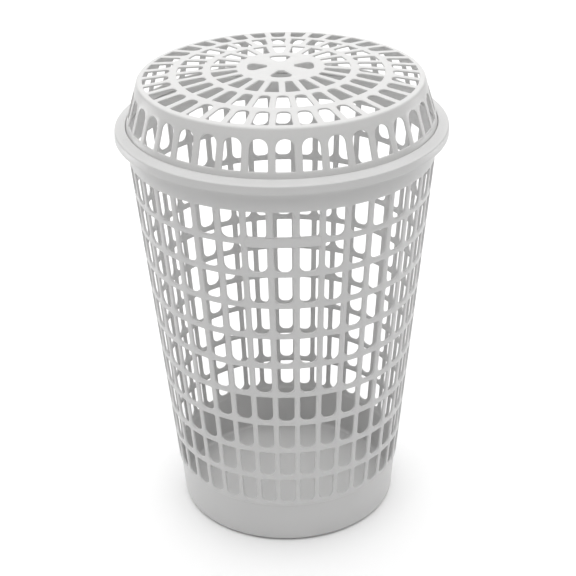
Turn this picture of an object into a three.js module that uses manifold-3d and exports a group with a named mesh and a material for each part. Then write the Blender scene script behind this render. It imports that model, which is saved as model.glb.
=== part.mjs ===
// Laundry hamper: a tapered, perforated plastic basket and the domed lid that drops into its mouth.
// Millimetres, +Z up, the front (the side with the blank badge plate) towards -Y.
import * as THREE from 'three';
import { mergeVertices } from 'three/addons/utils/BufferGeometryUtils.js';
import Module from 'manifold-3d';

const wasm = await Module();
wasm.setup();

// ---- Driving dimensions ----
const COLUMNS = 38;              // slots round the basket, and windows round the lid's skirt
const ROWS = 10;                 // slots up the basket
const PITCH = 2 * Math.PI / COLUMNS;
const BASKET_TURN = -0.3;        // degrees: the basket's front slot from straight ahead
const LID_TURN = 1;              // degrees: the lid's front window from straight ahead

const WALL_R = 139.6;            // outer radius of the basket's cone, carried down to the floor
const WALL_FLARE = 0.0941;       // growth of that radius per millimetre of height
const WALL_T = 2.6;
const BAND_TOP = 61;             // solid band at the foot
const BAND_R0 = 139.2;
const BAND_R1 = 143.4;
const FLOOR_T = 3;

const SLOT_Z0 = 64.9;            // bottom of the lowest row
const SLOT_STEP = 42.3;
const SLOT_H = 35.2;
const SLOT_SHARE = 0.75;         // part of each column that is open
const SLOT_CORNER = 6.5;         // the bottom corners are rounded, the top ones square

const RIM_R = 200.9;             // lower edge of the rim's outer lip
const RIM_TOP_R = 200;
const LIP_Z = 508.8;
const RIM_EDGE_Z = 518.4;
const RIM_TOP_Z = 522.6;
const MOUTH_R = 187.3;
const LEDGE_R = 183.4;           // inner edge of the shelf the lid stands on
const LEDGE_Z = 514;

const BADGE_W = 87;
const BADGE_Z0 = 436;
const BADGE_Z1 = 448.8;
const BADGE_PROUD = 0.6;

const SEAT_GAP = 0.3;
const LID_T = 2.2;
const LID_FOOT_R = 186.3;
const LID_FOOT_Z = LEDGE_Z + SEAT_GAP;
const SKIRT_TOP = [172.3, 570.4];
const SKIRT_FOOT = [186.0, 523];
const CROWN_Z = 587.9;
const DOME_FALL = 4.27e-4;       // the top falls by this times the radius squared
const SHOULDER_R = 166.8;        // where the top starts to turn over into the skirt
const WINDOW_Z0 = 529.3;
const WINDOW_Z1 = 563.6;
const WINDOW_RIB = 8.7;          // width of the upright bars between the lid's windows

// rings of holes in the lid's top: how many, from which radius to which, bar width, turn in steps
const RINGS = [
  { count: 21, r0: 52.4, r1: 83, bar: 7.8, arch: 2.6, turn: 0.5 },
  { count: 30, r0: 92.7, r1: 123.4, bar: 7.5, arch: 5.6, turn: 0 },
  { count: 38, r0: 133, r1: 164, bar: 8, arch: 6.8, turn: 0 },
];

// ---- Helpers ----
const deg = (a) => a * Math.PI / 180;
const wallR = (z) => WALL_R + WALL_FLARE * z;
const domeZ = (r) => CROWN_Z - DOME_FALL * r * r;

// a three.js geometry as a manifold solid, turned the right way out
function solid(geometry) {
  const g = geometry.clone();
  g.deleteAttribute('normal');
  g.deleteAttribute('uv');
  const m = mergeVertices(g, 1e-4);
  const triVerts = new Uint32Array(m.index.array);
  const vertProperties = new Float32Array(m.attributes.position.array);
  const made = new wasm.Manifold(new wasm.Mesh({ numProp: 3, vertProperties, triVerts }));
  if (made.volume() > 0) return made;
  for (let i = 0; i < triVerts.length; i += 3) {
    [triVerts[i], triVerts[i + 1]] = [triVerts[i + 1], triVerts[i]];
  }
  return new wasm.Manifold(new wasm.Mesh({ numProp: 3, vertProperties, triVerts }));
}

// a ring or cup turned from a closed profile of [radius, height] points, flats facing the columns
function turned(profile, turn) {
  const points = profile.map(([r, z]) => new THREE.Vector2(r, z));
  points.push(points[0].clone());
  const g = new THREE.LatheGeometry(points, COLUMNS);
  g.rotateX(Math.PI / 2);
  g.rotateZ(deg(turn) + PITCH / 2);
  return solid(g);
}

// a cutter with the outline [across, up], pushed straight in towards the axis at one bearing
function sideCutter(outline, r0, r1, bearing) {
  const shape = new THREE.Shape(outline.map(([x, z]) => new THREE.Vector2(x, z)));
  const g = new THREE.ExtrudeGeometry(shape, { depth: r1 - r0, bevelEnabled: false });
  g.translate(0, 0, r0);
  g.rotateX(Math.PI / 2);
  g.rotateZ(bearing);
  return solid(g);
}

// a cutter with the outline [across, radius], pushed straight down through the lid's top
function topCutter(outline, bearing) {
  const shape = new THREE.Shape(outline.map(([x, r]) => new THREE.Vector2(x, -r)));
  const g = new THREE.ExtrudeGeometry(shape, { depth: 60, bevelEnabled: false });
  g.translate(0, 0, CROWN_Z - 45);
  g.rotateZ(bearing);
  return solid(g);
}

// both halves of an outline given as its right side from bottom to top
function mirrored(right) {
  const left = right.filter(([x]) => x > 0).map(([x, y]) => [-x, y]).reverse();
  return [...right, ...left];
}

function mesh(name, body, look) {
  const m = body.getMesh();
  const g = new THREE.BufferGeometry();
  const n = m.numProp;
  const position = new Float32Array(m.numVert * 3);
  for (let i = 0; i < m.numVert; i += 1) {
    for (let k = 0; k < 3; k += 1) position[i * 3 + k] = m.vertProperties[i * n + k];
  }
  g.setAttribute('position', new THREE.BufferAttribute(position, 3));
  g.setIndex(new THREE.BufferAttribute(new Uint32Array(m.triVerts), 1));
  g.computeVertexNormals();
  const made = new THREE.Mesh(g, new THREE.MeshStandardMaterial(look));
  made.name = name;
  return made;
}

// ---- Basket: one injection moulding ----
// closed foot: flat floor, rounded corner and solid band, a step smaller than the grille above it
const foot = turned([
  [0.0, 0],
  [131.5, 0],
  [136, 1.6],
  [BAND_R0, 5.5],
  [BAND_R1, BAND_TOP],
  [BAND_R1, BAND_TOP + 2],
  [BAND_R1 - 2.6, BAND_TOP + 2],
  [BAND_R0 - 1.9, 9],
  [133.5, 4.4],
  [129, FLOOR_T],
  [0.0, FLOOR_T],
], BASKET_TURN);

// the cone that carries the slots
const GRILLE_Z0 = BAND_TOP - 1.5;
const GRILLE_Z1 = 510;
const grille = turned([
  [wallR(GRILLE_Z0) - WALL_T, GRILLE_Z0],
  [BAND_R1 + 0.4, GRILLE_Z0],
  [wallR(GRILLE_Z0 + 1.8), GRILLE_Z0 + 1.8],
  [wallR(GRILLE_Z1), GRILLE_Z1],
  [wallR(GRILLE_Z1) - WALL_T, GRILLE_Z1],
], BASKET_TURN);

// rolled rim: the mouth with its shelf, the broad sloping top and the lip turned down outside
const RIM_T = 2.2;
const rim = turned([
  [LEDGE_R + 1.2, 503],
  [wallR(504) + 0.5, 504],
  [MOUTH_R + 2.4, 508.5],
  [MOUTH_R + 2.4, RIM_TOP_Z - 3],
  [RIM_TOP_R - RIM_T, RIM_EDGE_Z - 1],
  [RIM_R - RIM_T, LIP_Z],
  [RIM_R, LIP_Z],
  [RIM_TOP_R, RIM_EDGE_Z],
  [RIM_TOP_R - 1.6, RIM_EDGE_Z + 1.5],
  [MOUTH_R + 1.2, RIM_TOP_Z],
  [MOUTH_R, RIM_TOP_Z - 1.2],
  [MOUTH_R, LEDGE_Z],
  [LEDGE_R, LEDGE_Z],
  [LEDGE_R, LEDGE_Z - 4],
], BASKET_TURN);

// blank badge plate bridging three columns between the top two rows
const badgeR = wallR(BADGE_Z0);
const badgePlate = turned([
  [badgeR - 1.8, BADGE_Z0],
  [badgeR + BADGE_PROUD, BADGE_Z0],
  [badgeR + 1 + BADGE_PROUD, BADGE_Z1],
  [badgeR + 1 - 1.8, BADGE_Z1],
], BASKET_TURN).intersect(sideCutter(
  mirrored([[BADGE_W / 2, BADGE_Z0 - 5], [BADGE_W / 2, BADGE_Z1 + 5]]), 100, 220, deg(BASKET_TURN)));

const slots = [];
for (let row = 0; row < ROWS; row += 1) {
  const z0 = SLOT_Z0 + row * SLOT_STEP;
  const half = (z) => SLOT_SHARE * wallR(z) * PITCH / 2;
  const outline = mirrored([
    [half(z0) - SLOT_CORNER * 0.8, z0],
    [half(z0 + SLOT_CORNER), z0 + SLOT_CORNER],
    [half(z0 + SLOT_H), z0 + SLOT_H],
  ]);
  for (let column = 0; column < COLUMNS; column += 1) {
    const bearing = deg(BASKET_TURN) + column * PITCH;
    slots.push(sideCutter(outline, wallR(z0) - 12, wallR(z0) + 14, bearing));
  }
}
const pierced = grille.subtract(wasm.Manifold.union(slots)).asOriginal().simplify(0.02);
const basket = pierced.add(foot).add(rim).add(badgePlate).asOriginal().simplify(0.02);

// ---- Lid: one injection moulding ----
// outer face from the crown down to the foot, then back up inside it
const lidBody = turned([
  [0, domeZ(0)],
  [45.5, domeZ(45.5)],
  [88, domeZ(88)],
  [128.5, domeZ(128.5)],
  [SHOULDER_R, domeZ(SHOULDER_R)],
  [SHOULDER_R + 3.6, domeZ(SHOULDER_R) - 1.6],
  SKIRT_TOP,
  SKIRT_FOOT,
  [LID_FOOT_R, SKIRT_FOOT[1] - 2],
  [LID_FOOT_R, LID_FOOT_Z],
  [LID_FOOT_R - LID_T, LID_FOOT_Z],
  [LID_FOOT_R - LID_T, SKIRT_FOOT[1] - 2.4],
  [SKIRT_TOP[0] - LID_T, SKIRT_TOP[1] - 0.6],
  [SHOULDER_R - 1, domeZ(SHOULDER_R) - LID_T],
  [128.5, domeZ(128.5) - LID_T],
  [88, domeZ(88) - LID_T],
  [45.5, domeZ(45.5) - LID_T],
  [0, domeZ(0) - LID_T],
], LID_TURN);

const lidHoles = [];
for (const ring of RINGS) {
  const step = 2 * Math.PI / ring.count;
  const half = (r) => (r * step - ring.bar) / 2;
  const outline = mirrored([
    [half(ring.r1), ring.r1],
    [half(ring.r0 + ring.arch), ring.r0 + ring.arch],
    [half(ring.r0) * 0.45, ring.r0],
  ]);
  for (let i = 0; i < ring.count; i += 1) {
    lidHoles.push(topCutter(outline, deg(LID_TURN) + (i + ring.turn) * step));
  }
}

// four petals round the crown
const petal = mirrored([[3, 16.5], [13.4, 32], [12.6, 36.8], [5, 39.4]]);
for (let i = 0; i < 4; i += 1) lidHoles.push(topCutter(petal, deg(LID_TURN) + i * Math.PI / 2));

// arched windows through the skirt
const windowR = (z) => SKIRT_FOOT[0] + (SKIRT_TOP[0] - SKIRT_FOOT[0])
  * (z - SKIRT_FOOT[1]) / (SKIRT_TOP[1] - SKIRT_FOOT[1]);
const windowHalf = (z) => (windowR(z) * PITCH - WINDOW_RIB) / 2;
const windowOutline = mirrored([
  [windowHalf(WINDOW_Z0), WINDOW_Z0],
  [windowHalf(WINDOW_Z1 - 7), WINDOW_Z1 - 7],
  [windowHalf(WINDOW_Z1) * 0.5, WINDOW_Z1],
]);
for (let column = 0; column < COLUMNS; column += 1) {
  lidHoles.push(sideCutter(windowOutline, 164, 200, deg(LID_TURN) + column * PITCH));
}
const lid = lidBody.subtract(wasm.Manifold.union(lidHoles)).asOriginal().simplify(0.02);

// ---- The part ----
const hamper = new THREE.Group();
hamper.name = 'laundry_hamper';
hamper.add(mesh('basket', basket, { color: 0xdcdbd8, roughness: 0.5, metalness: 0 }));
hamper.add(mesh('lid', lid, { color: 0xe4e3e1, roughness: 0.48, metalness: 0 }));

export default hamper;
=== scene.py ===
"""Laundry hamper with lid: a slotted plastic basket and the pierced, domed lid laid in its mouth."""

from math import pi, radians

import bpy
import numpy as np
from mathutils import Matrix, Vector


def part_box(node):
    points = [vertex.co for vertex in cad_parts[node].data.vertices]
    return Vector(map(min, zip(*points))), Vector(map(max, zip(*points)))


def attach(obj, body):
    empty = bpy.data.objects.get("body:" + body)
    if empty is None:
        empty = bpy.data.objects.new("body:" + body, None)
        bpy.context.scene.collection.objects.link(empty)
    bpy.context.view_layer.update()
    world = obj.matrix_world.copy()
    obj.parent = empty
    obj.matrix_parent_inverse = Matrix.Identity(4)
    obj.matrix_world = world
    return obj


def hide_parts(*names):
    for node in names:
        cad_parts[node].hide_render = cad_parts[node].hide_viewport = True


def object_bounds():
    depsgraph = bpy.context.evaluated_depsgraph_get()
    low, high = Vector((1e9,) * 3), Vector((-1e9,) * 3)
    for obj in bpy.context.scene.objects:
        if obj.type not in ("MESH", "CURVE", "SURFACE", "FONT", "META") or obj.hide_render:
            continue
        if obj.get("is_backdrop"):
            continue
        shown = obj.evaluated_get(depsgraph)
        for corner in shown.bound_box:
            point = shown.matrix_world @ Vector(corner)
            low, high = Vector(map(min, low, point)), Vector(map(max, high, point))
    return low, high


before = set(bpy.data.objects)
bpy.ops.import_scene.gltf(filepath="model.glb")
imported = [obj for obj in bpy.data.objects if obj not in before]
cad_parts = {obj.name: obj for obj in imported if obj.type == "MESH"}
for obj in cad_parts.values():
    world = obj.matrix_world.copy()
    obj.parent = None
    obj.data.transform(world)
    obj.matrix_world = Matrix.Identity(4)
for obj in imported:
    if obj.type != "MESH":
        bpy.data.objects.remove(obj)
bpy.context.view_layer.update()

# ---------------------------------------------------------------------------------------------
# Basket: one injection moulding in off-white polypropylene. A closed foot and a solid neck join
# a tapering grille of upright slots, and the mouth ends in a broad rolled rim with a lip turned
# down outside. A blank badge plate is moulded over the front, between the top two rows.
# ---------------------------------------------------------------------------------------------
MM = 0.001
COLUMNS = 38
ROWS = 10
COLUMN_STEP = 2 * pi / COLUMNS
BASKET_TURN = radians(-0.3)

CONE_R = 139.6
CONE_FLARE = 0.0941
WALL = 2.6
SLOT_FOOT = 64.9
SLOT_STEP = 42.3
SLOT_HEIGHT = 35.2
SLOT_SHARE = 0.735
SLOT_LOW_CORNER, SLOT_HIGH_CORNER = 7.8, 1.4
GRILLE_FOOT = SLOT_FOOT - (SLOT_STEP - SLOT_HEIGHT) / 2
GRILLE_HEAD = GRILLE_FOOT + ROWS * SLOT_STEP

CORNER_STEPS = 3
EDGE_ROUND = 0.9
DRAFT = 0.25
INNER_ROUND = 0.45


def arc(centre, radius, start, end, steps):
    """Points of a circular arc in the (radius, height) plane: centre + radius * (cos, sin) of an
    angle going from start to end, in degrees."""
    angle = np.radians(np.linspace(start, end, steps + 1))
    return np.stack([centre[0] + radius * np.cos(angle), centre[1] + radius * np.sin(angle)], 1)


def place(bearing, radius, height):
    """Points of a turned surface: (r sin a, -r cos a, z), so bearing 0 is the front."""
    return np.stack(
        np.broadcast_arrays(radius * np.sin(bearing), -radius * np.cos(bearing), height), -1
    )


def turned(profile, bearings):
    """A surface turned about the upright axis: every profile point (r, z) at every bearing, as a
    grid of quads split in two. A profile that climbs outside and falls inside faces outwards."""
    profile = np.asarray(profile, float)
    grid = place(bearings[None, :], profile[:, :1], profile[:, 1:])
    rows, around = grid.shape[:2]
    low = np.arange((rows - 1) * around).reshape(rows - 1, around)
    nxt = np.roll(low, -1, axis=1)
    faces = np.stack([low, nxt, nxt + around, low, nxt + around, low + around], -1)
    return grid.reshape(-1, 3), faces.reshape(-1, 3)


def hole_loop(low, high, height, low_corner, high_corner, grow, flat, side):
    """One turn round a hole's edge, anticlockwise from the middle of its lower edge. The hole is a
    trapezium with half widths low and high and rounded corners; grow moves the edge outwards
    along its normal. Each corner is an arc about its centre: centre + (corner + grow) * (cos,
    sin) of the normal's angle, which leans with the sides."""
    lean = np.arctan2(high - low, height)
    low_x = low - low_corner * (1 - np.sin(lean)) / np.cos(lean)
    high_x = low + (height - high_corner) * np.tan(lean) - high_corner / np.cos(lean)
    turn_low = np.degrees(pi / 2 - lean)
    turn_high = np.degrees(pi / 2 + lean)
    lower = arc((low_x, low_corner), low_corner + grow, -90, -90 + turn_low, 2 * CORNER_STEPS)
    upper = arc((high_x, height - high_corner), high_corner + grow, 90 - turn_high, 90,
                2 * CORNER_STEPS)
    foot = np.linspace((0, lower[0, 1]), lower[0], flat, endpoint=False)
    rise = np.linspace(lower[-1], upper[0], side, endpoint=False)[1:]
    head = np.linspace(upper[-1], (0, upper[-1, 1]), flat + 1)[1:]
    right = np.concatenate([foot, lower, rise, upper, head])
    left = right[1:-1][::-1] * (-1, 1)
    return np.concatenate([right, left])


def cell_loop(half_angle, low, high, flat, side):
    """One turn round a cell's border, (bearing from its middle, distance along the skin), with as
    many points on each side as hole_loop has between the middles of its corners."""
    across = 2 * (flat + CORNER_STEPS)
    up = 2 * CORNER_STEPS + side
    x = np.linspace(-half_angle, half_angle, across + 1)
    y = np.linspace(low, high, up + 1)
    foot = np.stack([x[across // 2:-1], np.full(across // 2, low)], 1)
    rise = np.stack([np.full(up, half_angle), y[:-1]], 1)
    head = np.stack([x[::-1][:-1], np.full(across, high)], 1)
    fall = np.stack([np.full(up, -half_angle), y[::-1][:-1]], 1)
    last = np.stack([x[:across // 2], np.full(across // 2, low)], 1)
    return np.concatenate([foot, rise, head, fall, last])


def pierced(skin, count, turn, low, high, hole, flat=1, side=1, thickness=WALL, edge=EDGE_ROUND,
            draft=DRAFT):
    """A band of wall with one hole in each of count cells. skin(s, depth) gives (r, z) at the
    distance s along the outer face and that depth below it. Rings of points run from the cell's
    border over the rounded outer edge, down the drafted side of the hole, over the inner edge and
    back to the border on the inner face; each ring is joined to the next."""
    half = pi / count
    steps = [
        (edge + draft, 0.0),
        (draft + edge * (1 - np.sin(pi / 4)), edge * (1 - np.cos(pi / 4))),
        (draft, edge),
        (0.0, thickness - INNER_ROUND),
        (INNER_ROUND, thickness),
    ]
    border = cell_loop(half, low, high, flat, side)
    rings = [(border[:, 0], border[:, 1], 0.0)]
    foot = hole["foot"]
    for grow, depth in steps:
        loop = hole_loop(hole["low"], hole["high"], hole["height"], hole["low_corner"],
                         hole["high_corner"], grow, flat, side)
        s = foot + loop[:, 1]
        rings.append((loop[:, 0] / skin(s, 0.0)[0], s, depth))
    rings.append((border[:, 0], border[:, 1], thickness))
    bearings = turn + 2 * half * np.arange(count)
    points = []
    for bearing, s, depth in rings:
        r, z = skin(s, depth)
        points.append(place(bearings[:, None] + bearing, r, z))
    points = np.stack(points, 1)
    cells, layers, around = points.shape[:3]
    index = np.arange(cells * layers * around).reshape(cells, layers, around)
    nxt = np.roll(index, -1, axis=2)
    a, b, c, d = index[:, :-1], nxt[:, :-1], nxt[:, 1:], index[:, 1:]
    faces = np.stack([a, b, c, a, c, d], -1)
    return points.reshape(-1, 3), faces.reshape(-1, 3)


def moulding(name, patches):
    """One mesh from several patches of (points, triangles): points that coincide to a micrometre
    are merged, so the patches close on each other, and triangles left without area are dropped."""
    sizes = np.cumsum([0] + [len(points) for points, _ in patches])
    points = np.concatenate([points for points, _ in patches]) * MM
    faces = np.concatenate([faces + start for (_, faces), start in zip(patches, sizes)])
    _, first, back = np.unique(
        np.round(points * 1e6).astype(np.int64), axis=0, return_index=True, return_inverse=True
    )
    faces = back.reshape(-1)[faces]
    whole = (
        (faces[:, 0] != faces[:, 1]) & (faces[:, 1] != faces[:, 2]) & (faces[:, 2] != faces[:, 0])
    )
    faces = faces[whole]
    mesh = bpy.data.meshes.new(name)
    mesh.vertices.add(len(first))
    mesh.vertices.foreach_set("co", points[first].ravel())
    mesh.loops.add(faces.size)
    mesh.loops.foreach_set("vertex_index", faces.ravel())
    mesh.polygons.add(len(faces))
    mesh.polygons.foreach_set("loop_start", np.arange(0, faces.size, 3))
    mesh.polygons.foreach_set("use_smooth", np.ones(len(faces), bool))
    mesh.update(calc_edges=True)
    mesh.validate()
    piece = bpy.data.objects.new(name, mesh)
    bpy.context.scene.collection.objects.link(piece)
    return piece


slope = np.arctan(CONE_FLARE)


def cone(s, depth):
    """The basket's wall: radius CONE_R + CONE_FLARE * s at height s, and depth below that along
    the face's normal."""
    return CONE_R + CONE_FLARE * s - depth * np.cos(slope), s + depth * np.sin(slope)


across_column = 2 * (1 + CORNER_STEPS)
basket_bearings = BASKET_TURN - COLUMN_STEP / 2 + np.arange(COLUMNS * across_column) * (
    COLUMN_STEP / across_column
)

grille = []
for row in range(ROWS):
    foot = SLOT_FOOT + row * SLOT_STEP
    half_low, half_high = (
        SLOT_SHARE * COLUMN_STEP / 2 * cone(z, 0)[0] for z in (foot, foot + SLOT_HEIGHT)
    )
    slot_hole = dict(foot=foot, low=half_low, high=half_high, height=SLOT_HEIGHT,
                     low_corner=SLOT_LOW_CORNER, high_corner=SLOT_HIGH_CORNER)
    low = GRILLE_FOOT + row * SLOT_STEP
    grille.append(
        pierced(cone, COLUMNS, BASKET_TURN, low, low + SLOT_STEP, slot_hole)
    )

grille_foot_r = cone(GRILLE_FOOT, 0)[0]
BAND_HEAD_R = 143.3
BAND_FOOT_R = 139.3
FOOT_ROUND = 7.5
FLOOR_THICKNESS = 3.0
FOOT_INNER_ROUND = 5.3
foot_centre = (BAND_FOOT_R - FOOT_ROUND, FOOT_ROUND)

# Under the floor from its middle, round the foot's corner, up the solid band, over the small
# step where the grille begins; then the same way back inside.
foot_outside = np.concatenate([
    [(0, 0), (60, 0), (115, 0)],
    arc(foot_centre, FOOT_ROUND, -90, -3, 6),
    np.linspace((BAND_FOOT_R + 0.35, 14), (BAND_HEAD_R - 0.1, 56.5), 4),
    arc((BAND_HEAD_R + 0.9, 57.4), 0.9, 180, 120, 2),
    arc((grille_foot_r - 1.1, 60.2), 1.1, -55, -3, 3),
    [cone(GRILLE_FOOT, 0)],
])
foot_inside = np.concatenate([
    [cone(GRILLE_FOOT, WALL)],
    [(BAND_HEAD_R - 1.0, 60.6), (BAND_HEAD_R - 2.1, 58.6)],
    np.linspace((BAND_HEAD_R - 2.4, 56), (BAND_FOOT_R - 2.2, 14), 4),
    arc((foot_centre[0], FLOOR_THICKNESS + FOOT_INNER_ROUND), FOOT_INNER_ROUND, -3, -90, 5),
    [(112, FLOOR_THICKNESS), (60, FLOOR_THICKNESS), (0, FLOOR_THICKNESS)],
])

_, basket_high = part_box("basket")
RIM_HEAD = basket_high.z / MM
RIM_R = basket_high.x / MM
MOUTH_R = 186.95
LEDGE_R = 183.4
LEDGE = 514.0
LIP_FOOT = RIM_HEAD - 13.8
RIM_WALL = 2.2
NECK_HEAD = 500
neck_r = cone(NECK_HEAD, 0)[0]

# Up the neck, out under the rim, down inside the hanging lip, round its lower edge, up its
# face, over the sloping top and down into the mouth; then over the shelf and down the neck.
rim_outside = np.concatenate([
    [cone(GRILLE_HEAD, 0)],
    [cone(z, 0) for z in (488, 494, 499)],
    [(neck_r + 0.9, 503.6), (MOUTH_R + 2.0, 507.6)],
    arc((MOUTH_R + 4.4, RIM_HEAD - 5.0), 2.0, 180, 105, 4),
    arc((RIM_R - RIM_WALL - 3.1, RIM_HEAD - 8.3), 2.2, 80, 5, 4),
    [(RIM_R - RIM_WALL - 0.2, LIP_FOOT + 1.0)],
    arc((RIM_R - RIM_WALL / 2 - 0.1, LIP_FOOT + 0.9), 1.0, 180, 360, 8),
    arc((RIM_R - 2.6, RIM_HEAD - 5.4), 1.9, 3, 76, 7),
    np.linspace((RIM_R - 3.6, RIM_HEAD - 3.35), (MOUTH_R + 2.6, RIM_HEAD - 0.2), 5),
    arc((MOUTH_R + 1.2, RIM_HEAD - 1.2), 1.2, 76, 180, 7),
])
rim_inside = np.concatenate([
    [(MOUTH_R, LEDGE + 0.8)],
    arc((MOUTH_R - 0.6, LEDGE + 0.6), 0.6, 0, -90, 2),
    arc((LEDGE_R + 0.7, LEDGE - 0.7), 0.7, 90, 180, 3),
    [(LEDGE_R, LEDGE - 4.4), (LEDGE_R + 0.5, 506)],
    [(cone(NECK_HEAD, WALL)[0], NECK_HEAD + 0.4)],
    [cone(z, WALL) for z in (494, 488)],
    [cone(GRILLE_HEAD, WALL)],
])

BADGE_HALF = 43.5
BADGE_LOW, BADGE_HIGH = 436.0, 448.8
BADGE_PROUD = 0.55
BADGE_EDGE = 0.8
BADGE_ROUND = 0.5


def badge_plate():
    """The blank plate: a grid across the front at BADGE_PROUD over the cone, less a quarter round
    within BADGE_EDGE of its border, closed by the same grid behind, inside the wall."""
    across = np.concatenate([[-1, -0.985, -0.965, -0.93], np.linspace(-0.88, 0.88, 23),
                             [0.93, 0.965, 0.985, 1]])
    up = np.array([-1, -0.95, -0.86, -0.7, -0.35, 0, 0.35, 0.7, 0.86, 0.95, 1])
    x, y = np.meshgrid(across * BADGE_HALF, up)
    half_height = (BADGE_HIGH - BADGE_LOW) / 2
    z = (BADGE_LOW + BADGE_HIGH) / 2 + y * half_height
    end = np.minimum(BADGE_HALF - np.abs(x), (1 - np.abs(y)) * half_height)
    inwards = np.clip(end / BADGE_EDGE, 0, 1)
    rounding = BADGE_ROUND * (1 - np.sqrt(1 - (1 - inwards) ** 2))
    faces = []
    for depth in (BADGE_PROUD - rounding, np.full_like(x, 0.3 - WALL)):
        r, height = cone(z, -depth)
        faces.append(place(BASKET_TURN + x / cone(z, 0)[0], r, height))
    front, back = faces
    rows, cols = x.shape
    low = (np.arange(rows - 1)[:, None] * cols + np.arange(cols - 1)).ravel()
    quads = np.stack([low, low + 1, low + cols + 1, low, low + cols + 1, low + cols], -1)
    triangles = quads.reshape(-1, 3)
    back_triangles = triangles[:, ::-1] + rows * cols
    index = np.arange(rows * cols).reshape(rows, cols)
    loop = np.concatenate([index[0, :-1], index[:-1, -1], index[-1, :0:-1], index[:0:-1, 0]])
    nxt = np.roll(loop, -1)
    shift = rows * cols
    rim = np.stack([loop + shift, nxt + shift, nxt, loop + shift, nxt, loop], -1).reshape(-1, 3)
    points = np.concatenate([front.reshape(-1, 3), back.reshape(-1, 3)])
    return points, np.concatenate([triangles, back_triangles, rim])


basket = moulding("basket_moulding", [
    turned(foot_outside, basket_bearings),
    *grille,
    turned(rim_outside, basket_bearings),
    turned(np.concatenate([rim_outside[-1:], rim_inside]), basket_bearings),
    turned(foot_inside, basket_bearings),
    badge_plate(),
])


class Value:
    """A socket of a material that can stand in sums: each operator adds its Math node, and node
    adds one of any other kind. Value(tree) with no socket is a place to start from."""

    def __init__(self, tree, socket=None):
        """Keeps the material's node tree and the output socket that the value stands for."""
        self.tree = tree
        self.socket = socket

    def node(self, kind, settings, sockets, output=0):
        """Adds one node: its settings first, then the values or links of its sockets, by name or
        by number. Gives the chosen output as a Value."""
        made = self.tree.nodes.new(kind)
        for key, value in settings.items():
            setattr(made, key, value)
        for key, value in sockets.items():
            if isinstance(value, Value):
                self.tree.links.new(value.socket, made.inputs[key])
            else:
                made.inputs[key].default_value = value
        return Value(self.tree, made.outputs[output])

    def __add__(self, other):
        """self + other"""
        return self.node("ShaderNodeMath", {"operation": "ADD"}, {0: self, 1: other})

    def __mul__(self, other):
        """self * other"""
        return self.node("ShaderNodeMath", {"operation": "MULTIPLY"}, {0: self, 1: other})

    __radd__ = __add__
    __rmul__ = __mul__


CLOUD_SCALE = 14.0
RIPPLE_SCALE = 70.0
GRAIN_SCALE = 900.0
CLOUD_DEPTH = 0.965
RIPPLE_HEIGHT = 0.0006
PLASTIC_GLOSS = 0.29
PLASTIC_IOR = 1.49


def moulded_plastic(name, colour):
    """Satin polypropylene. The colour goes from CLOUD_DEPTH of itself to itself with a faint
    cloudiness from the melt; the roughness is a base with cloud and fine grain added; the bump is
    the slight unevenness of a moulded face plus a third of the grain."""
    material = bpy.data.materials.new(name)
    material.use_nodes = True
    tree = material.node_tree
    shader = tree.nodes["Principled BSDF"]
    make = Value(tree).node
    where = make("ShaderNodeTexCoord", {}, {}, "Object")
    cloud = make("ShaderNodeTexNoise", {}, {"Vector": where, "Scale": CLOUD_SCALE, "Detail": 3.0})
    grain = make("ShaderNodeTexNoise", {}, {"Vector": where, "Scale": GRAIN_SCALE, "Detail": 2.0})
    ripple = make("ShaderNodeTexNoise", {}, {"Vector": where, "Scale": RIPPLE_SCALE, "Detail": 2.0})
    deep = [CLOUD_DEPTH * c for c in colour]
    shade = make(
        "ShaderNodeMix", {"data_type": "RGBA"}, {0: cloud, 6: (*deep, 1), 7: (*colour, 1)}, 2
    )
    gloss = PLASTIC_GLOSS - 0.05 + 0.06 * cloud + 0.06 * grain
    height = 0.35 * grain + ripple
    bump = make(
        "ShaderNodeBump", {}, {"Strength": 0.12, "Distance": RIPPLE_HEIGHT, "Height": height}
    )
    for socket, value in (("Base Color", shade), ("Roughness", gloss), ("Normal", bump)):
        tree.links.new(value.socket, shader.inputs[socket])
    shader.inputs["IOR"].default_value = PLASTIC_IOR
    return material


# The basket's colour is a shade darker than the lid's, though both are the same plastic: painted
# shade on the basket's sides.
basket.data.materials.append(moulded_plastic("basket_plastic", (0.578, 0.576, 0.573)))
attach(basket, "basket")
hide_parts("basket")

# ---------------------------------------------------------------------------------------------
# Lid: one injection moulding in the same plastic. A shallow dome with four petals round a plain
# hub and three rings of radial slots turns over a rounded shoulder into a flaring skirt of
# arched windows. Its plain foot drops inside the rim and stands on the shelf in the mouth.
# ---------------------------------------------------------------------------------------------
LID_TURN = radians(1.0)
LID_WALL = 2.2
LID_EDGE = 0.55
LID_DRAFT = 0.15
lid_low, lid_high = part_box("lid")
CROWN = lid_high.z / MM
FOOT_R = lid_high.x / MM + 0.35
FOOT = lid_low.z / MM
SKIRT_FOOT = (186.1, 523.0)
SKIRT_HEAD = (171.5, 573.0)
SHOULDER_R = 168.6
SHOULDER_REACH = 1.5
DOME_FALL = 4.27e-4


def dome(r):
    """Height of the lid's top: a shallow crown that falls with the square of the radius."""
    return CROWN - DOME_FALL * r ** 2


def smooth_path(points, steps=60):
    """A Bezier curve of degree three through four control points."""
    a, b, c, d = (np.asarray(p, float) for p in points)
    t = np.linspace(0, 1, steps)[:, None]
    return (1 - t) ** 3 * a + 3 * t * (1 - t) ** 2 * b + 3 * t ** 2 * (1 - t) * c + t ** 3 * d


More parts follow.
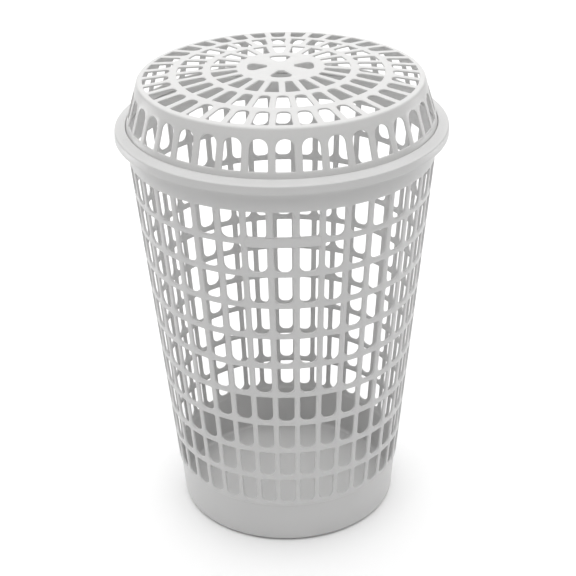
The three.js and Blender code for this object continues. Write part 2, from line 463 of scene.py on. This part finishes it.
skirt_run = np.subtract(SKIRT_HEAD, SKIRT_FOOT)
skirt_run /= np.hypot(*skirt_run)
dome_edge = np.array([SHOULDER_R, dome(SHOULDER_R)])
dome_run = np.array([-1.0, dome(SHOULDER_R - 1) - dome(SHOULDER_R)])
dome_run /= np.hypot(*dome_run)
dome_radii = np.linspace(SHOULDER_R, 0, 260)
shoulder = smooth_path([
    SKIRT_HEAD, SKIRT_HEAD + SHOULDER_REACH * skirt_run,
    dome_edge - SHOULDER_REACH * dome_run, dome_edge,
])

# The outer path: up the foot band, round into the skirt, up the skirt, over the shoulder and in
# along the dome to its middle. path_run is its direction at each point.
lid_outside = np.concatenate([
    np.linspace((FOOT_R, FOOT + 0.8), (FOOT_R, SKIRT_FOOT[1] - 2.5), 8),
    smooth_path([(FOOT_R, SKIRT_FOOT[1] - 2.4), (FOOT_R, SKIRT_FOOT[1] - 1),
                 SKIRT_FOOT - skirt_run, SKIRT_FOOT], 12),
    np.linspace(SKIRT_FOOT, SKIRT_HEAD, 90)[1:],
    shoulder[1:],
    np.stack([dome_radii, dome(dome_radii)], 1)[1:],
])
path_length = np.concatenate([[0], np.cumsum(np.hypot(*np.diff(lid_outside, axis=0).T))])
path_run = np.gradient(lid_outside, path_length, axis=0)
path_run /= np.hypot(*path_run.T)[:, None]
mid_shoulder = len(lid_outside) - len(dome_radii) - len(shoulder) // 2


def lid_skin(s, depth):
    """The lid's wall: the point at the distance s up its outer path, and depth below that along
    the path's normal, (run z, -run r)."""
    r, z, run_r, run_z = (
        np.interp(s, path_length, column) for column in (*lid_outside.T, *path_run.T)
    )
    return np.maximum(r - depth * run_z, 0), z + depth * run_r


def path_at_height(z):
    """Distance along the lid's outer path at a height on the skirt."""
    return np.interp(z, lid_outside[:mid_shoulder, 1], path_length[:mid_shoulder])


def path_at_radius(r):
    """Distance along the lid's outer path at a radius on the dome."""
    return np.interp(-r, -lid_outside[mid_shoulder:, 0], path_length[mid_shoulder:])


def stitched(outer, inner, depth, flip):
    """A ring of triangles between two circles on the lid with different numbers of points. Each
    step round one circle is joined to the last point passed on the other, so the seam never
    runs back."""
    points = []
    bearings_passed = []
    for s, first, count in (outer, inner):
        bearing = first + 2 * pi * np.arange(count) / count
        r, z = lid_skin(np.full(count, s), depth)
        points.append(place(bearing, r, z))
        bearings_passed.append((bearing - outer[1]) % (2 * pi))
    order_a, order_b = (np.argsort(passed) for passed in bearings_passed)
    a, b = (np.sort(passed) for passed in bearings_passed)
    n_a, n_b = len(a), len(b)
    twice_a, twice_b = np.append(a, a + 2 * pi), np.append(b, b + 2 * pi)
    last_b = (np.searchsorted(twice_b, twice_a[1:n_a + 1], "left") - 1) % n_b
    last_a = (np.searchsorted(twice_a, twice_b[1:n_b + 1], "right") - 1) % n_a
    on_a = np.stack([order_a, np.roll(order_a, -1), order_b[last_b] + n_a], -1)
    on_b = np.stack([order_b + n_a, order_a[last_a], np.roll(order_b, -1) + n_a], -1)
    faces = np.concatenate([on_a, on_b])
    return np.concatenate(points), faces[:, ::-1] if flip else faces


WINDOW_FOOT, WINDOW_HEAD = 529.3, 563.6
WINDOW_BAR = 8.7

# Each ring of slots: how many, its outer and inner radius, the bar between two slots, how round
# their inner ends are, its turn in parts of a step, and how finely the flat ends are divided.
RING_SLOTS = [
    dict(count=38, r0=164, r1=133, bar=8.0, arch=6.8, turn=0, flat=1),
    dict(count=30, r0=123.4, r1=92.7, bar=7.5, arch=5.6, turn=0, flat=2),
    dict(count=21, r0=83, r1=52.4, bar=7.8, arch=2.6, turn=0.5, flat=3),
]
MARGIN = 2.2


def fine_bearings(count, flat, turn):
    """The bearings that the cells of one ring put on their borders."""
    across = 2 * (flat + CORNER_STEPS)
    return turn - pi / count, count * across


lid_wall = dict(thickness=LID_WALL, edge=LID_EDGE, draft=LID_DRAFT)
lid_patches = []
window_low, window_high = path_at_height(WINDOW_FOOT), path_at_height(WINDOW_HEAD)
window_half = [
    (lid_skin(s, 0)[0] * COLUMN_STEP - WINDOW_BAR) / 2 for s in (window_low, window_high)
]
window = dict(foot=window_low, low=window_half[0], high=window_half[1],
              height=window_high - window_low, low_corner=1.2, high_corner=9.7)
border_low, border_high = window_low - 2.6, window_high + 3.0
lid_patches.append(pierced(lid_skin, COLUMNS, LID_TURN, border_low, border_high, window,
                           **lid_wall))
circles = [(border_high, *fine_bearings(COLUMNS, 1, LID_TURN))]
for ring in RING_SLOTS:
    low, high = path_at_radius(ring["r0"]), path_at_radius(ring["r1"])
    step = 2 * pi / ring["count"]
    halves = [(r * step - ring["bar"]) / 2 for r in (ring["r0"], ring["r1"])]
    slot_hole = dict(foot=low, low=halves[0], high=halves[1], height=high - low,
                     low_corner=1.3, high_corner=ring["arch"])
    turn = LID_TURN + ring["turn"] * step
    lid_patches.append(pierced(lid_skin, ring["count"], turn, low - MARGIN, high + MARGIN,
                               slot_hole, flat=ring["flat"], **lid_wall))
    start, number = fine_bearings(ring["count"], ring["flat"], turn)
    circles += [(low - MARGIN, start, number), (high + MARGIN, start, number)]

PETALS = 4
HUB_FLAT = 9
HUB_OUT, HUB_IN = 45, 8
PETAL_OUT, PETAL_IN = 39.4, 16.4
petal_low, petal_high = path_at_radius(PETAL_OUT), path_at_radius(PETAL_IN)
petal = dict(foot=petal_low, low=15.6, high=3.4, height=petal_high - petal_low,
             low_corner=4.6, high_corner=3.0)
hub_low, hub_high = path_at_radius(HUB_OUT), path_at_radius(HUB_IN)
lid_patches.append(pierced(lid_skin, PETALS, LID_TURN, hub_low, hub_high, petal,
                           flat=HUB_FLAT, side=4, **lid_wall))
hub_start, hub_number = fine_bearings(PETALS, HUB_FLAT, LID_TURN)
circles += [(hub_low, hub_start, hub_number)]

lid_bearings = LID_TURN - COLUMN_STEP / 2 + np.arange(COLUMNS * across_column) * (
    COLUMN_STEP / across_column
)
shoulder_path = np.concatenate([
    np.linspace(border_high, path_at_height(SKIRT_HEAD[1]), 3, endpoint=False),
    np.linspace(path_at_height(SKIRT_HEAD[1]), path_at_radius(SHOULDER_R), 16),
    np.linspace(path_at_radius(SHOULDER_R), circles[1][0], 4)[1:],
])
lid_patches.append(turned(np.stack(lid_skin(shoulder_path, 0.0), 1), lid_bearings))
lid_patches.append(turned(np.stack(lid_skin(shoulder_path[::-1], LID_WALL), 1), lid_bearings))

for outer, inner in zip(circles[2::2], circles[3::2]):
    for depth, flip in ((0.0, False), (LID_WALL, True)):
        lid_patches.append(stitched(outer, inner, depth, flip))

hub_bearings = hub_start + 2 * pi * np.arange(hub_number) / hub_number
hub_path = np.linspace(hub_high, path_length[-1], 5)
lid_patches.append(turned(np.stack(lid_skin(hub_path, 0.0), 1), hub_bearings))
lid_patches.append(turned(np.stack(lid_skin(hub_path[::-1], LID_WALL), 1), hub_bearings))

skirt_path = np.linspace(path_length[0], border_low, 14)
lid_foot = np.concatenate([
    np.stack(lid_skin(skirt_path[::-1], LID_WALL), 1),
    [(FOOT_R - LID_WALL, FOOT + 0.6), (FOOT_R - LID_WALL + 0.6, FOOT)],
    [(FOOT_R - 0.6, FOOT), (FOOT_R - 0.1, FOOT + 0.3)],
    np.stack(lid_skin(skirt_path, 0.0), 1),
])
lid_patches.append(turned(lid_foot, lid_bearings))

lid = moulding("lid_moulding", lid_patches)
# The lid's colour is a shade lighter than the basket's, though both are the same plastic: painted
# light on the lid's top-lit dome.
lid.data.materials.append(moulded_plastic("lid_plastic", (0.622, 0.619, 0.613)))
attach(lid, "lid")
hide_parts("lid")

# ---------------------------------------------------------------------------------------------
# Studio: a plain pale floor and surround, one broad light above, a broad weak one behind, and a
# small low one at each side.
# ---------------------------------------------------------------------------------------------
FLOOR_HALF = 6.0
floor_mesh = bpy.data.meshes.new("studio_floor")
floor_mesh.from_pydata(
    [(x * FLOOR_HALF, y * FLOOR_HALF, -0.0005) for x, y in ((-1, -1), (1, -1), (1, 1), (-1, 1))],
    [], [(0, 1, 2, 3)],
)
floor = bpy.data.objects.new("studio_floor", floor_mesh)
bpy.context.scene.collection.objects.link(floor)
floor_paint = bpy.data.materials.new("floor_paint")
floor_paint.use_nodes = True
floor_shader = floor_paint.node_tree.nodes["Principled BSDF"]
floor_shader.inputs["Base Color"].default_value = (0.98, 0.98, 0.98, 1)
floor_shader.inputs["Roughness"].default_value = 0.9
floor_shader.inputs["Specular IOR Level"].default_value = 0.1
floor_mesh.materials.append(floor_paint)
floor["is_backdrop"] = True

world = bpy.data.worlds.new("studio_surround")
world.use_nodes = True
world.node_tree.nodes["Background"].inputs["Color"].default_value = (1, 1, 1, 1)
world.node_tree.nodes["Background"].inputs["Strength"].default_value = 0.28
bpy.context.scene.world = world

middle_height = sum(corner.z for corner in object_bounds()) / 2
for name, position, size, power in (
    ("light_above", (0.0, -0.1, 3.2), 5.7, 178.0),
    ("light_left", (-1.4, 0.6, 0.1), 0.7, 4.5),
    ("light_right", (1.4, 0.6, 0.1), 0.7, 3.0),
    ("light_back", (0.0, 3.0, 0.7), 4.0, 40.0),
):
    lamp = bpy.data.lights.new(name, "AREA")
    lamp.size = size
    lamp.energy = power
    lamp_object = bpy.data.objects.new(name, lamp)
    lamp_object.location = position
    lamp_object.visible_camera = False
    towards = Vector((0, 0, middle_height)) - Vector(position)
    lamp_object.rotation_euler = towards.to_track_quat("-Z", "Y").to_euler()
    bpy.context.scene.collection.objects.link(lamp_object)

bpy.context.scene.view_settings.view_transform = "Standard"

# ---------------------------------------------------------------------------------------------
# Camera: a short telephoto at chest height in front of the hamper, looking down at it.
# ---------------------------------------------------------------------------------------------
camera_data = bpy.data.cameras.new("camera")
camera_data.sensor_width = 36.0
camera_data.lens = 92.1
camera = bpy.data.objects.new("camera", camera_data)
camera.matrix_world = (
    Matrix.Translation((0, -1.6637, 1.1554))
    @ Matrix.Rotation(-0.0024, 4, "Z")
    @ Matrix.Rotation(pi / 2 - 0.4787, 4, "X")
    @ Matrix.Rotation(-0.0182, 4, "Z")
)
bpy.context.scene.collection.objects.link(camera)
bpy.context.scene.camera = camera
